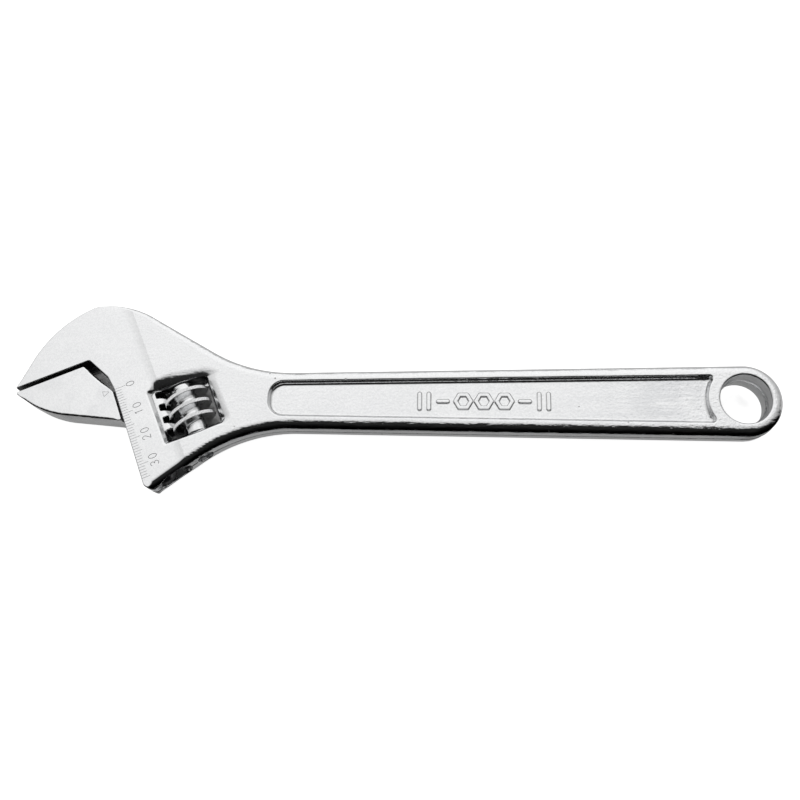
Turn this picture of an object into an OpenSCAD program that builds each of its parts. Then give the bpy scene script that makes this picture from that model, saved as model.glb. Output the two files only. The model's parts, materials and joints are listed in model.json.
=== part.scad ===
// Adjustable wrench, nominal 300 mm, lying flat.
// Origin: centre of the hang hole, half way through the thickness.
// +X runs from the jaws towards the hang hole, +Y towards the fixed jaw's side, +Z out of the front face.

/* [Forging] */
// Thickness of the handle and of the neck
forging_t = 14; // [12:0.1:18]
// Depth ground off each face of the head, left of the ridge
ground_depth = 0.4; // [0:0.1:1]
// Distance from the hang hole to where the slide face crosses the handle's centre line
head_reach = 245.3; // [235:0.1:260]
// Angle between the jaw faces and the handle's centre line
jaw_angle = 22.5; // [15:0.5:30]

/* [Handle] */
// Radius of the round end
end_r = 14.5; // [13:0.1:18]
// Half width of the handle at the neck
neck_half_w = 11.5; // [10:0.1:13]
// Depth of the panel recess on each face
recess_depth = 2.5; // [1:0.1:3.5]
// Width of the raised rim beside the recess
rim_w = 4.6; // [3.5:0.1:6]
// Where the recess starts, measured from the hang hole
recess_start = 184; // [160:1:190]
// Radius of the eye left around the hang hole
eye_r = 14; // [12.5:0.1:16]

/* [Hang hole] */
// Radius of the hole's wall
hole_r = 9.2; // [7:0.1:10]
// Chamfer at both rims
hole_chamfer = 0.8; // [0:0.1:1.2]

/* [Jaws] */
// Gap between the jaw faces as stored
jaw_gap = 1.3; // [1:0.1:30]
// Height of the fixed jaw's face above the handle's centre line, along the slide face
face_height = 19.4; // [17:0.1:22]
// Distance from the slide face to the jaws' tips
jaw_depth = 37; // [30:0.5:42]
// Gap between the movable jaw's block and the slide face
flank_gap = 0.5; // [0.3:0.1:1]

/* [Rack channel] */
// Distance of the rack bar's toothed edge behind the slide face
rack_reach = 18.8; // [18:0.1:19]
// Radius of the rack bar's rounded edges, half its thickness
rack_r = 4.5; // [4:0.1:4.6]
// Distance between the centres of the two rounded edges
rack_spread = 4.5; // [2:0.1:5]
// Radial clearance of the rack bar in its channel
rack_clearance = 0.2; // [0.1:0.05:0.3]
// Thickness of the web between jaw block and rack bar
web_t = 3.6; // [3:0.1:5]
// Clearance on each side of the web
web_clearance = 0.2; // [0.1:0.05:0.3]

/* [Worm] */
// Distance of the worm's axis behind the slide face
worm_back = 25.3; // [25:0.1:26]
// Outer radius of the thread
worm_r = 9; // [8:0.1:9.3]
// Radius of the worm's core
core_r = 4.7; // [4:0.1:5.5]
// Pitch of the single-start right-hand thread
pitch = 5.5; // [5:0.1:6]
// Thickness of the thread at its crest
crest_t = 1.3; // [1:0.1:1.6]
// Thickness of the thread at the core
root_t = 2.6; // [2:0.1:3]
// Position of the thread's centre where it faces the rack, along the slide
thread_ref = 9.9; // [7:0.1:10]

/* [Pin and spring] */
// Radius of the pin's shank
pin_r = 2.3; // [2:0.1:2.5]
// Running clearance between pin and worm
pin_clearance = 0.06; // [0.02:0.01:0.1]
// Radius of the pin's slotted head
pin_head_r = 3.3; // [2.6:0.1:3.5]
// Radius of the spring's wire
wire_r = 0.4; // [0.3:0.05:0.5]
// Turns of the spring
spring_turns = 3.5; // [2:0.5:6]

/* [Hidden] */
$fn = 64;
half_t = forging_t / 2;
ground_z = half_t - ground_depth;
// Positions along the slide, 0 where the slide face crosses the handle's centre line
fixed_face = -face_height;
moving_face = fixed_face + jaw_gap;
rack_back = rack_reach - rack_r;
slide_end = 41.2;
window_top = 3.2;
window_bottom = 24.8;
window_near = -14.2;
window_far = -36.5;
flare_depth = 2.2;
ridge_u = -17.8;
ridge_tilt = 2;
rack_top = -14;
rack_bottom = 20.4;
channel_end = -16.2;
web_top = -4.6;
flank_bottom = 9.9;
worm_top = 3.6;
worm_bottom = 24.4;
thread_top = 4.8;
thread_bottom = 22.6;
spring_pocket_r = 4;
spring_pocket_end = 8.6;
spring_r = 3.3;
pin_top = -3.8;
pin_bottom = 33.2;
groove_tip_w = 3.7;
groove_floor_w = 2.4;
groove_depth = 4.2;
groove_count = 7;
backlash_shift = 0.5;

// Head coordinates (u away from the slide face towards the jaw tips, s along the slide) in the handle's frame
function head_xy(u, s) = [
    -head_reach - u * cos(jaw_angle) + s * sin(jaw_angle),
    -u * sin(jaw_angle) - s * cos(jaw_angle)
];
function unit(v) = v / norm(v);

// Arc of radius c[2] that rounds corner c between its neighbours a and b; c[3], where given, is the edge radius there.
// Each point is [x, y, edge radius, x and y of the outward normal].
function corner_arc(a, c, b) =
    let (
        p = [c[0], c[1]],
        ua = unit([a[0], a[1]] - p),
        ub = unit([b[0], b[1]] - p),
        half = acos(ua * ub) / 2,
        r = c[2],
        centre = p + unit(ua + ub) * r / sin(half),
        from = p + ua * r / tan(half) - centre,
        to = p + ub * r / tan(half) - centre,
        turn = acos(min(1, unit(from) * unit(to))),
        side = sign(from[0] * to[1] - from[1] * to[0]),
        steps = max(2, ceil(turn / 7)),
        start = atan2(from[1], from[0])
    )
    [for (i = [0:steps]) let (w = start + side * turn * i / steps)
        [centre[0] + r * cos(w), centre[1] + r * sin(w), c[3], side * cos(w), side * sin(w)]];

// Closed outline, counter-clockwise, from corners [x, y, corner radius] or [x, y, corner radius, edge radius]
function rounded(corners) =
    let (
        n = len(corners),
        points = [for (i = [0:n - 1]) each corner_arc(corners[(i + n - 1) % n], corners[i], corners[(i + 1) % n])],
        m = len(points)
    )
    [for (i = [0:m - 1]) let (before = points[(i + m - 1) % m])
        if (norm([points[i][0] - before[0], points[i][1] - before[1]]) > 0.01) points[i]];

module outline(corners) polygon([for (p = rounded(corners)) [p[0], p[1]]]);

// Outline moved inwards by share times each point's edge radius
function inset(points, share) = [for (p = points) [p[0] - share * p[2] * p[3], p[1] - share * p[2] * p[4]]];

// Plate between -h and +h whose outer edges are rounded by each point's edge radius
module round_edged_plate(points, h) {
    n = len(points);
    angles = [90, 60, 30, 0, 0, -30, -60, -90];
    rings = [for (a = angles) inset(points, 1 - cos(a))];
    drop = [for (a = angles) 1 - abs(sin(a))];
    vertices = [for (k = [0:7]) for (i = [0:n - 1])
        [rings[k][i][0], rings[k][i][1], (k < 4 ? 1 : -1) * (h - drop[k] * points[i][2])]];
    sides = [for (k = [0:6]) for (i = [0:n - 1]) each [
        [k * n + i, k * n + (i + 1) % n, (k + 1) * n + (i + 1) % n],
        [k * n + i, (k + 1) * n + (i + 1) % n, (k + 1) * n + i]
    ]];
    caps = [[for (i = [n - 1:-1:0]) i], [for (i = [0:n - 1]) 7 * n + i]];
    polyhedron(vertices, concat(sides, caps), convexity = 6);
}

// Places children drawn in head coordinates, x = u, y = s
module in_head() translate([-head_reach, 0, 0]) rotate([0, 0, 180 + jaw_angle]) children();
// Cylinder along the slide from s = a to s = b at distance back behind the slide face
module along_slide(r, a, b, back) translate([-back, a, 0]) rotate([-90, 0, 0]) cylinder(r = r, h = b - a);
module on_both_faces() {
    children();
    mirror([0, 0, 1]) children();
}

// Corners of the forging: [x, y, corner radius]
body_corners = [
    concat(head_xy(jaw_depth + 2.4, fixed_face), 1.5),
    concat(head_xy(6.1, fixed_face), 1),
    concat(head_xy(1, -9.7), 2.5),
    concat(head_xy(0, -4), 3),
    concat(head_xy(0, slide_end), 3),
    [-194, -neck_half_w - 0.2, 62],
    [end_r, -end_r, end_r - 0.3],
    [end_r, end_r, end_r - 0.3],
    [-192, neck_half_w - 0.1, 65],
    [-243, 40.4, 37],
    [-258, 40, 9],
    [-275.2, 31.2, 48]
];

// Half width of the recess's long sides at both ends
recess_near_half = neck_half_w + 0.3 - rim_w;
recess_far_half = end_r - 0.2 - rim_w;
recess_end_r = 6.2;
recess_corners = [
    [-recess_start, -recess_near_half, recess_end_r],
    [-2, -recess_far_half, 0.5],
    [-2, recess_far_half, 0.5],
    [-recess_start, recess_near_half, recess_end_r]
];

module recess() translate([0, 0, half_t - recess_depth]) difference() {
    linear_extrude(recess_depth + 1) outline(recess_corners);
    translate([0, 0, -1]) cylinder(r = eye_r, h = recess_depth + 3);
}

// Window for the worm: straight inside, flared towards both faces
module window() {
    inner = [[window_near, window_top], [window_far, window_top],
        [window_far, window_bottom], [window_near, window_bottom]];
    rim = [[-12.4, 1.2], [-38.4, 4.2], [-39.3, 26.3], [-12.5, 26.8]];
    low = -1 / flare_depth;
    high = 1 + 1 / flare_depth;
    flare = [for (share = [low, high]) for (i = [0:3])
        concat(inner[i] + share * (rim[i] - inner[i]), half_t - flare_depth * (1 - share))];
    translate([0, 0, -half_t - 1]) linear_extrude(forging_t + 2) polygon(inner);
    on_both_faces() polyhedron(flare, concat(
        [[3, 2, 1, 0], [4, 5, 6, 7]],
        [for (i = [0:3]) let (j = (i + 1) % 4) each [[i, j, i + 4], [j, j + 4, i + 4]]]
    ));
}

// The rack bar's section swept along the slide from s = a to s = b, grown by gap all round
module rack_bar(a, b, gap) {
    r = rack_r + gap;
    along_slide(r, a, b, rack_back);
    along_slide(r, a, b, rack_back - rack_spread);
    translate([-rack_back, a, -r]) cube([rack_spread, b - a, 2 * r]);
}

module body() color("#d9dadb") difference() {
    translate([0, 0, -half_t]) linear_extrude(forging_t) outline(body_corners);
    // Hang hole with chamfered rims
    cylinder(r = hole_r, h = forging_t + 2, center = true);
    on_both_faces() translate([0, 0, half_t - hole_chamfer - 1])
        cylinder(r1 = hole_r - 1, r2 = hole_r + hole_chamfer + 1, h = hole_chamfer + 2);
    on_both_faces() recess();
    in_head() {
        // Faces ground flat from the ridge to the jaw
        on_both_faces() translate([ridge_u, 0, ground_z]) rotate([0, 0, ridge_tilt])
            translate([0, -60, 0]) cube([80, 120, 5]);
        window();
        // Channel for the rack bar, open at the lower end, and the web's slot in the slide face
        rack_bar(channel_end, slide_end + 10, rack_clearance);
        translate([-rack_back, web_top - 2.2, -web_t / 2 - web_clearance])
            cube([rack_back + 5, slide_end + 15, web_t + 2 * web_clearance]);
        // Stepped hole for the pin
        along_slide(pin_r, pin_top, window_top + 1, worm_back);
        along_slide(pin_head_r, window_bottom - 1, slide_end + 10, worm_back);
    }
}

// Corners of the movable jaw's block in head coordinates: [u, s, corner radius, edge radius]
jaw_corners = [
    [jaw_depth + 1, moving_face, 0.7, 0.5],
    [30.5, -5.9, 38, 0.8],
    [flank_gap, flank_bottom, 0.8, 0.5],
    [flank_gap, moving_face + 14.9, 2, 0.3],
    [flank_gap + 8.4, moving_face, 0.8, 0.3]
];

// One slot between two rack teeth, slanted by the worm's lead angle
module rack_groove() {
    tip = groove_tip_w / 2;
    floor_w = groove_floor_w / 2;
    over = 1;
    widen = over * (tip - floor_w) / groove_depth;
    translate([-rack_back - rack_r, 0, 0]) rotate([atan(pitch / (2 * PI * (worm_r - 1))), 0, 0])
        translate([0, 0, -6]) linear_extrude(12) polygon([
            [groove_depth, -floor_w],
            [groove_depth, floor_w],
            [-over, tip + widen],
            [-over, -tip - widen]
        ]);
}

module movable_jaw() color("#dcddde") in_head() difference() {
    union() {
        round_edged_plate(rounded(jaw_corners), ground_z);
        translate([-rack_back, web_top, -web_t / 2]) cube([rack_back + 3, flank_bottom - 1 - web_top, web_t]);
        rack_bar(rack_top, rack_bottom, 0);
    }
    first = thread_ref + backlash_shift - 4 * pitch;
    for (i = [0:groove_count - 1]) translate([0, first + i * pitch, 0]) rack_groove();
}

// Right-hand thread ridge around the worm's axis, as a sweep of a trapezoid
module thread_ridge() {
    steps = 30;
    turns = 4;
    first = thread_ref - 1.05 * pitch;
    root = core_r - 0.5;
    section = [
        [root, -root_t / 2],
        [worm_r, -crest_t / 2],
        [worm_r, crest_t / 2],
        [root, root_t / 2]
    ];
    count = steps * turns;
    points = [for (i = [0:count]) let (w = 360 * i / steps - 0.05 * 360, s = first + pitch * i / steps)
        for (q = section) [q[0] * cos(w), s + q[1], -q[0] * sin(w)]];
    sides = [for (i = [0:count - 1]) for (k = [0:3]) each [
        [4 * i + k, 4 * i + (k + 1) % 4, 4 * (i + 1) + k],
        [4 * i + (k + 1) % 4, 4 * (i + 1) + (k + 1) % 4, 4 * (i + 1) + k]
    ]];
    ends = [[3, 2, 1, 0], [for (k = [0:3]) 4 * count + k]];
    polyhedron(points, concat(sides, ends), convexity = 8);
}

module worm() color("#cfd0d2") in_head() difference() {
    union() {
        along_slide(core_r, worm_top, worm_bottom, worm_back);
        intersection() {
            translate([-worm_back, 0, 0]) thread_ridge();
            along_slide(worm_r + 1, thread_top, thread_bottom, worm_back);
        }
    }
    along_slide(pin_r + pin_clearance, worm_top - 1, worm_bottom + 1, worm_back);
    along_slide(spring_pocket_r, worm_top - 1, spring_pocket_end, worm_back);
}

module worm_pin() color("#b9bbbe") in_head() difference() {
    union() {
        along_slide(pin_r, pin_top, pin_bottom, worm_back);
        along_slide(pin_head_r, window_bottom, pin_bottom, worm_back);
    }
    // Screwdriver slot
    translate([-worm_back - 5, pin_bottom - 1.2, -0.5]) cube([10, 2, 1]);
}

// Compression spring between the window's upper wall and the worm
module worm_spring() color("#9fa2a6") in_head() translate([-worm_back, 0, 0]) {
    steps = 20;
    wire_sides = 8;
    count = steps * spring_turns;
    low = window_top + wire_r + 0.02;
    high = spring_pocket_end - wire_r - 0.05;
    points = [for (i = [0:count]) for (k = [0:wire_sides - 1]) let (
        w = 360 * i / steps,
        v = 360 * k / wire_sides,
        r = spring_r + wire_r * cos(v)
    ) [r * cos(w), low + (high - low) * i / count + wire_r * sin(v), -r * sin(w)]];
    sides = [for (i = [0:count - 1]) for (k = [0:wire_sides - 1]) let (m = (k + 1) % wire_sides) each [
        [wire_sides * i + k, wire_sides * (i + 1) + k, wire_sides * i + m],
        [wire_sides * i + m, wire_sides * (i + 1) + k, wire_sides * (i + 1) + m]
    ]];
    ends = [[for (k = [0:wire_sides - 1]) k], [for (k = [wire_sides - 1:-1:0]) wire_sides * count + k]];
    polyhedron(points, concat(sides, ends), convexity = 8);
}

body();
movable_jaw();
worm();
worm_pin();
worm_spring();
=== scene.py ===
"""Adjustable wrench: the looks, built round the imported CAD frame.

Shapes are signed distance fields in millimetres, negative inside and positive outside.
Each field becomes one closed mesh, whose shading normals come from the field itself.
"""
import json
import math

import bpy
import numpy as np
from mathutils import Matrix, Vector


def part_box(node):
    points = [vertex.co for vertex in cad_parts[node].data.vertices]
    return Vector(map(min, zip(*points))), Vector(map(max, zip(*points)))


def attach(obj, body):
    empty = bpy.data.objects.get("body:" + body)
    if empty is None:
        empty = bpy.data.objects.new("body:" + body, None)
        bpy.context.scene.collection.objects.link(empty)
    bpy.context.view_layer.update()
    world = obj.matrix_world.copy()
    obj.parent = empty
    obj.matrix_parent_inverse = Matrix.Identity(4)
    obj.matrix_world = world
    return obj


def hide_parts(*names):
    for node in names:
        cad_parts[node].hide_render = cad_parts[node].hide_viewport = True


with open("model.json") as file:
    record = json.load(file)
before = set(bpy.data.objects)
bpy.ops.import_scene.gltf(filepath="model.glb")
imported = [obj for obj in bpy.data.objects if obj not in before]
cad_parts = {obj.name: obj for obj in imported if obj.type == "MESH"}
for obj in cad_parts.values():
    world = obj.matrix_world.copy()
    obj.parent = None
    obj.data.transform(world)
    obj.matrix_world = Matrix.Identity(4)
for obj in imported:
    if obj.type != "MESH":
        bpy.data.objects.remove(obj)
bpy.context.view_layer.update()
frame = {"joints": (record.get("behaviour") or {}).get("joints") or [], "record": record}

MM = 0.001

# ------------------------------------------------------------------ sizes taken from the frame


def box_mm(node):
    """Lowest and highest corner of a CAD node, in millimetres."""
    low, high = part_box(node)
    return np.array(low) / MM, np.array(high) / MM


JOINTS = {joint["name"]: joint for joint in frame["joints"]}
MOUNTS = {mount["name"]: mount for mount in frame["record"]["mounts"]}
BODY_LOW, BODY_HIGH = box_mm("body")
HALF_T = BODY_HIGH[2]
GROUND_Z = box_mm("movable_jaw")[1][2]
WORM_R = box_mm("worm")[1][2]
END_R = BODY_HIGH[0]
HOLE_R = MOUNTS["hang_hole"]["dims"]["r_mm"]
# Head coordinates: u away from the slide face towards the jaw tips, s along the slide.
# They start where the slide face crosses the handle's centre line.
ALONG = np.array(JOINTS["jaw_slide"]["axis"][:2], float)
ALONG /= np.linalg.norm(ALONG)
TOWARDS_TIPS = np.array([ALONG[1], -ALONG[0]])
WORM_BACK = 25.3
ON_SLIDE = np.array(JOINTS["worm_spin"]["pos_m"][:2], float) / MM + WORM_BACK * TOWARDS_TIPS
HEAD_ORIGIN = ON_SLIDE - ALONG * ON_SLIDE[1] / ALONG[1]

# ------------------------------------------------------------------ sizes named here, in millimetres

DRAFT = 0.03              # side walls lean in by this share of the height from the parting line
HANDLE_EDGE_R = 3.5
FORGED_EDGE_R = 1.5
CROWN_EDGE_R = 0.8
LOWER_EDGE_R = 1.9
MACHINED_EDGE_R = 0.35
PARTING_H, PARTING_W = 0.14, 0.5      # flash line left round the forging, half way through its thickness

RIDGE_U, RIDGE_TILT, RIDGE_W = -17.8, math.radians(2), 4.0

RECESS_START, RECESS_DEPTH = 184.0, 2.4
RECESS_HALF_NEAR, RECESS_HALF_FAR = 7.2, 9.7
RECESS_END_R = 6.2
RECESS_WALL_LEAN = 0.36    # the recess narrows by this share of its depth on each side
EYE_R = 14.0
# The hang hole's radius is less by the first on the flash line, and more by the second away from it
HOLE_FLASH, HOLE_OPEN = 0.3, 0.35

WINDOW_U, WINDOW_S = (-36.5, -14.2), (3.2, 24.8)
WINDOW_RIM = [(-11.5, 2.4), (-18.2, 0.3), (-38.7, 4.7), (-39.6, 26.2), (-12.3, 26.2)]
WINDOW_CORNER_R = (0.4, 0.8, 1.6, 1.6, 0.6)
WINDOW_DRAFT = 0.26        # slope of the window's far wall, which narrows the window half way through
WINDOW_TOP_DROP = 2.8      # how much lower the flare's upper edge lies at the far wall
FLARE_DEPTH = 2.2
# Rounding of the window's rim, and what its upper side and its far side add to it
RIM_R, TOP_RIM_R, FAR_RIM_R = 0.4, 2.4, 0.5

# The rack bar's section: radius, spread of its two centres, and depth of the deeper one behind the slide face
RACK_R, RACK_SPREAD, RACK_BACK = 4.5, 4.5, 14.3
RACK_S = (-14.0, 20.4)
RACK_GAP = 0.2
CHANNEL_END = -16.2
WEB_T, WEB_S = 3.6, (-4.6, 8.9)

# The worm's thread: its pitch, and the s of one crest on the rack's side
PITCH, THREAD_REF = 5.5, 9.9
CORE_R, CREST_T, ROOT_T = 4.7, 1.45, 2.6
WORM_S, THREAD_S = (3.6, 24.4), (4.8, 22.6)
POCKET_R, POCKET_END = 4.0, 8.6
KNURL_TEETH, KNURL_DEPTH = 96, 0.2
# The rack's grooves: width at the tips and the floor, depth, count, and shift from the thread's crests
GROOVE_TIP, GROOVE_FLOOR, GROOVE_DEPTH, GROOVE_COUNT, BACKLASH = 3.7, 2.4, 4.2, 7, 0.5

PIN_R, PIN_HEAD_R = 2.3, 3.3
PIN_S, PIN_HEAD_START = (-3.8, 33.2), 24.8
SPRING_R, WIRE_R, SPRING_TURNS = 3.3, 0.4, 3.5

JAW_GAP = 1.3
FACE_S = -19.4
JAW_FACE_S, JAW_BACK_U = FACE_S + JAW_GAP, 0.5
THROAT_U, THROAT_S = 8.4, 14.9        # sides of the corner that the jaw's slanted throat cuts off
JAW_EDGE_R = 0.8
JAW_SPAN_U, JAW_SPAN_S = (-19, 38), (-18.2, 20.4)
GRIP_PAINTED_BLACK = 0.8            # how strongly a painted dark reflection blackens the ground jaw faces

# Raised mark in the recess: bars, dashes and hexagon outlines in place of lettering
MARK_Y, MARK_HALF_H, MARK_STROKE, MARK_RISE = -0.6, 3.0, 1.5, 0.6
MARK_X = (-125.0, -73.5)

# Scale along the slide face
TICK_SPACING, TICK_COUNT, TICK_START = 1.12, 36, -3.7
TICK_LENGTHS = {10: 4.3, 5: 3.4, 1: 2.6}
TICK_W, DIGIT_LINE_W, LINE_H = 0.13, 0.2, 0.02
TICK_INSET, DIGIT_U = 0.55, -7.0
DIGIT_H, DIGIT_W, DIGIT_STEP = 3.3, 1.8, 3.0
LINE_TOP = GROUND_Z + 0.012

# Camera, fitted to the angle of view: place in millimetres, direction, upward direction, lens
CAMERA_AT = (-108.637, -100.494, 332.690)
CAMERA_FORWARD, CAMERA_UP = (-0.06783, 0.29209, -0.95398), (-0.00164, 0.95615, 0.29287)
CAMERA_LENS = 39.48


def head_to_row(u, s):
    """Row-frame x and y of head coordinates."""
    return HEAD_ORIGIN + u * TOWARDS_TIPS + s * ALONG


def row_to_head(x, y):
    dx, dy = x - HEAD_ORIGIN[0], y - HEAD_ORIGIN[1]
    return dx * TOWARDS_TIPS[0] + dy * TOWARDS_TIPS[1], dx * ALONG[0] + dy * ALONG[1]


# ------------------------------------------------------------------ field tools


def smooth(value, low, high):
    """0 below low, 1 above high, with an S-curve between."""
    t = np.clip((value - low) / (high - low), 0, 1)
    return t * t * (3 - 2 * t)


def meet(a, b, r):
    """What is inside both a and b, with the edge between them rounded to radius r."""
    a, b = a + r, b + r
    return np.minimum(np.maximum(a, b), 0) + np.hypot(np.maximum(a, 0), np.maximum(b, 0)) - r


def join(a, b, r):
    """What is inside a or b, with the inner corner between them filled to radius r."""
    return -meet(-a, -b, r)


def cut(solid, tool, r):
    return meet(solid, -tool, r)


def between(value, low, high):
    """Field of the slab from low to high."""
    return np.maximum(low - value, value - high)


def unit(vector):
    return vector / np.linalg.norm(vector)


class Outline:
    """Closed outline of straight lines and arcs, from corners (x, y, radius) listed counter-clockwise."""

    def __init__(self, corners):
        corners = [np.array(corner, float) for corner in corners]
        self.arcs = []
        for i, corner in enumerate(corners):
            before, after = corners[i - 1], corners[(i + 1) % len(corners)]
            point, r = corner[:2], corner[2]
            back, ahead = unit(before[:2] - point), unit(after[:2] - point)
            half = math.acos(np.clip(back @ ahead, -1, 1)) / 2
            middle = unit(back + ahead)
            convex = ahead[0] * back[1] - ahead[1] * back[0] > 0
            self.arcs.append({
                "centre": point + middle * r / math.sin(half),
                "r": r,
                "start": point + back * r / math.tan(half),
                "end": point + ahead * r / math.tan(half),
                "towards": -middle,
                "reach": math.sin(half),
                "side": 1 if convex else -1,
            })

    def distance(self, x, y):
        best = np.full(x.shape, np.inf)
        for i, arc in enumerate(self.arcs):
            dx, dy = x - arc["centre"][0], y - arc["centre"][1]
            rho = np.hypot(dx, dy)
            facing = dx * arc["towards"][0] + dy * arc["towards"][1] >= rho * arc["reach"]
            d = np.where(facing, arc["side"] * (rho - arc["r"]), np.inf)
            best = np.where(np.abs(d) < np.abs(best), d, best)
            a, b = arc["end"], self.arcs[(i + 1) % len(self.arcs)]["start"]
            length = np.linalg.norm(b - a)
            if length < 1e-6:
                continue
            way = (b - a) / length
            dx, dy = x - a[0], y - a[1]
            t = dx * way[0] + dy * way[1]
            across = dx * way[1] - dy * way[0]
            d = np.hypot(across, t - np.clip(t, 0, length)) * np.where(across > 0, 1, -1)
            best = np.where(np.abs(d) < np.abs(best), d, best)
        return best


def stadium(u, z, u_middle, spread, r):
    """Section of a bar with two round edges, their centres spread apart along u."""
    return np.hypot(np.maximum(np.abs(u - u_middle) - spread / 2, 0), z) - r


def wall_plane(rim_a, rim_b, inner, middle):
    """Normal and offset of the plane through two rim points and an inner one, with the middle inside it."""
    a = np.array([*rim_a, HALF_T])
    normal = unit(np.cross(np.array([*rim_b, HALF_T]) - a, np.array([*inner, HALF_T - FLARE_DEPTH]) - a))
    offset = normal @ a
    return (normal, offset) if normal @ middle < offset else (-normal, -offset)


# ------------------------------------------------------------------ the pieces' fields

BODY_OUTLINE = Outline([
    [*head_to_row(38.2, FACE_S), 0.5],
    [*head_to_row(6.1, FACE_S), 1],
    [*head_to_row(1, -9.7), 2.5],
    [*head_to_row(0, -4), 3],
    [*head_to_row(0, 41.2), 3],
    [-194, -11.7, 62],
    [END_R, -END_R, END_R - 0.3],
    [END_R, END_R, END_R - 0.3],
    [-192, 11.4, 65],
    [-243, 40.4, 37],
    [-258, 40, 9],
    [-275.2, 31.2, 48],
])
RECESS_OUTLINE = Outline([
    [-RECESS_START, -RECESS_HALF_NEAR, RECESS_END_R],
    [0, -RECESS_HALF_FAR, 0.5],
    [0, RECESS_HALF_FAR, 0.5],
    [-RECESS_START, RECESS_HALF_NEAR, RECESS_END_R],
])
JAW_OUTLINE = Outline([
    [38, JAW_FACE_S, 0.7],
    [30.5, -5.9, 38],
    [JAW_BACK_U, 9.9, 0.8],
    [JAW_BACK_U, JAW_FACE_S + THROAT_S, 2],
    [JAW_BACK_U + THROAT_U, JAW_FACE_S, 0.8],
])


def window_planes():
    middle = np.array([sum(WINDOW_U) / 2, sum(WINDOW_S) / 2, HALF_T - FLARE_DEPTH / 2])
    near, far = WINDOW_U[1], WINDOW_U[0]
    top, bottom = WINDOW_S
    inner = [(near, top), (far, top + WINDOW_TOP_DROP), (far, bottom), (far, bottom), (near, bottom)]
    following = WINDOW_RIM[1:] + WINDOW_RIM[:1]
    return [wall_plane(a, b, point, middle) for a, b, point in zip(WINDOW_RIM, following, inner)]


WINDOW_PLANES = window_planes()


def window_field(u, s, height):
    """The worm's window: straight inside, flared towards both faces."""
    far_wall = WINDOW_U[0] + WINDOW_DRAFT * (HALF_T - FLARE_DEPTH - height)
    # Close to the faces the upper wall slants with the rim, more so in the far corner
    slant = 1.5 * np.clip((-u - 14) / 18, 0, 1) + 1.2 * smooth(-u, 31.5, 37)
    top_wall = WINDOW_S[0] + slant * smooth(height, 4.9, 6.0)
    straight = meet(np.maximum(far_wall - u, u - WINDOW_U[1]), np.maximum(top_wall - s, s - WINDOW_S[1]), 0.8)
    flare = -FLARE_DEPTH + 0 * u
    for (normal, offset), corner_r in zip(WINDOW_PLANES, WINDOW_CORNER_R):
        flare = meet(flare, normal[0] * u + normal[1] * s + normal[2] * height - offset, corner_r)
    return np.minimum(straight, flare)


def segment_distance(x, y, a, b):
    way = np.array(b, float) - a
    t = np.clip(((x - a[0]) * way[0] + (y - a[1]) * way[1]) / (way @ way), 0, 1)
    return np.hypot(x - a[0] - t * way[0], y - a[1] - t * way[1])


def arc_points(x, y, rx, ry, start, end, steps):
    """Points along an arc of an ellipse, with its angles in degrees."""
    angles = [math.radians(start + (end - start) * i / steps) for i in range(steps + 1)]
    return [(x + rx * math.cos(angle), y + ry * math.sin(angle)) for angle in angles]


def mark_strokes():
    """Middle lines of the raised mark, left to right: two bars, a dash, three hexagons, a dash, two bars."""
    left, right = MARK_X[0] + MARK_STROKE / 2, MARK_X[1] - MARK_STROKE / 2
    middle = (left + right) / 2
    strokes = []
    for x in (left, left + 3.6, right - 3.6, right):
        strokes.append(((x, MARK_Y - MARK_HALF_H), (x, MARK_Y + MARK_HALF_H)))
    for x in (left + 7.3, right - 10.9):
        strokes.append(((x, MARK_Y), (x + 3.6, MARK_Y)))
    for x in (middle - 8, middle, middle + 8):
        ring = arc_points(x, MARK_Y, MARK_HALF_H, MARK_HALF_H, 0, 360, 6)
        strokes += list(zip(ring[:-1], ring[1:]))
    return strokes


MARK_STROKES = mark_strokes()


def mark_distance(x, y):
    """Distance to the raised mark's middle lines, worked out only round the mark."""
    margin = 3
    result = np.maximum(between(x, *MARK_X), np.abs(y - MARK_Y) - MARK_HALF_H) + margin
    near = result < 2 * margin
    lines = [segment_distance(x[near], y[near], a, b) for a, b in MARK_STROKES]
    result[near] = np.minimum.reduce(lines)
    return result


def ridge_distance(u, s):
    """Distance past the ridge, towards the jaw tips, where the faces are ground flat."""
    return (u - RIDGE_U) * math.cos(RIDGE_TILT) + s * math.sin(RIDGE_TILT)


def forging_field(x, y, z):
    """The forging before anything is cut into it."""
    height = np.abs(z)
    u, s = row_to_head(x, y)
    ground = 1 - (1 - np.clip(ridge_distance(u, s) / RIDGE_W, 0, 1)) ** 2
    face = HALF_T - (HALF_T - GROUND_Z) * ground
    machined = smooth(u, -4, -1.5) * smooth(s, -22.5, -20.5)
    on_handle = smooth(x, -255, -195)
    edge_r = FORGED_EDGE_R + (CROWN_EDGE_R - FORGED_EDGE_R) * ground
    edge_r = edge_r + (LOWER_EDGE_R - edge_r) * smooth(s, 20, 30)
    edge_r = edge_r + (HANDLE_EDGE_R - edge_r) * on_handle
    edge_r = edge_r + (MACHINED_EDGE_R - edge_r) * machined
    parting = PARTING_H * (1 - np.exp(-(z / PARTING_W) ** 2))
    return meet(BODY_OUTLINE.distance(x, y) + DRAFT * height + parting, height - face, edge_r)


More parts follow.
